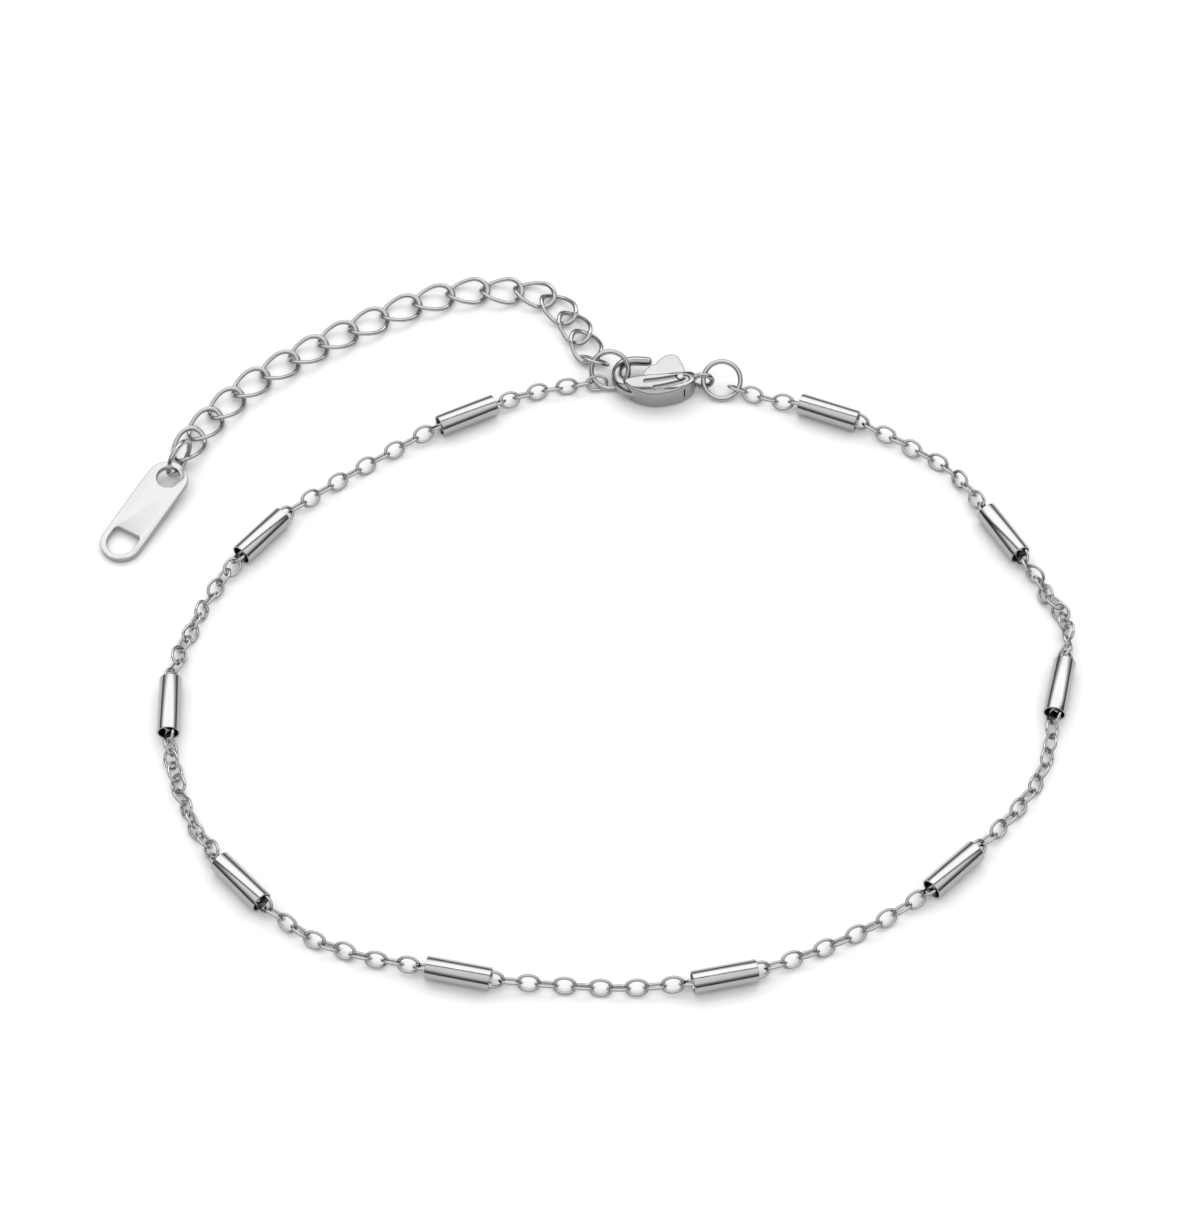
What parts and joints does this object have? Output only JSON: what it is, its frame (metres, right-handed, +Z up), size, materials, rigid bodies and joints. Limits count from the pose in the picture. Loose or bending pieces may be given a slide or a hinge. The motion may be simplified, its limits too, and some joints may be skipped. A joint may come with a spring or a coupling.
{
  "type": "chain anklet",
  "caption": "Chain anklet of hollow tube beads on a fine cable chain, closed by a lobster clasp, with a curb extender chain and a flat end tag.",
  "frame": {"origin": "middle of the lying anklet's bounding box, on the surface that it lies on", "axes": "+Z up off the surface, +X along the longest side, +Y from the front of the loop towards the clasp"},
  "size_m": [0.0812, 0.0714, 0.0037],
  "materials": {
    "tube_steel": "polished thin-wall stainless tube",
    "chain_steel": "polished round stainless wire",
    "clasp_steel": "polished cast stainless",
    "tag_steel": "polished flat plate"
  },
  "bodies": {
    "anklet": {"tube_bead_01": "tube_steel", "tube_bead_02": "tube_steel", "tube_bead_03": "tube_steel", "tube_bead_04": "tube_steel", "tube_bead_05": "tube_steel", "tube_bead_06": "tube_steel", "tube_bead_07": "tube_steel", "tube_bead_08": "tube_steel", "tube_bead_09": "tube_steel", "tube_bead_10": "tube_steel", "chain_run_01": "chain_steel", "chain_run_02": "chain_steel", "chain_run_03": "chain_steel", "chain_run_04": "chain_steel", "chain_run_05": "chain_steel", "chain_run_06": "chain_steel", "chain_run_07": "chain_steel", "chain_run_08": "chain_steel", "chain_run_09": "chain_steel", "chain_run_10": "chain_steel", "chain_run_11": "chain_steel", "extender_ring": "chain_steel", "tail_ring": "chain_steel", "joining_ring": "chain_steel", "tag_ring": "chain_steel", "extender_link_01": "chain_steel", "extender_link_02": "chain_steel", "extender_link_03": "chain_steel", "extender_link_04": "chain_steel", "extender_link_05": "chain_steel", "extender_link_06": "chain_steel", "extender_link_07": "chain_steel", "extender_link_08": "chain_steel", "extender_link_09": "chain_steel", "extender_link_10": "chain_steel", "extender_link_11": "chain_steel", "extender_link_12": "chain_steel", "extender_link_13": "chain_steel", "extender_link_14": "chain_steel", "extender_link_15": "chain_steel", "extender_link_16": "chain_steel", "end_tag": "tag_steel", "clasp_body": "clasp_steel", "clasp_pin": "clasp_steel"},
    "lever": {"clasp_lever": "clasp_steel"}
  },
  "joints": [
    {"name": "lever_hinge", "type": "hinge", "parent": "anklet", "child": "lever", "pos_m": [0.00828, 0.02372, 0.00116], "axis": [0, 0, 1], "range_deg": [0, 18], "stiffness_Nm_per_rad": 0.0005}
  ]
}
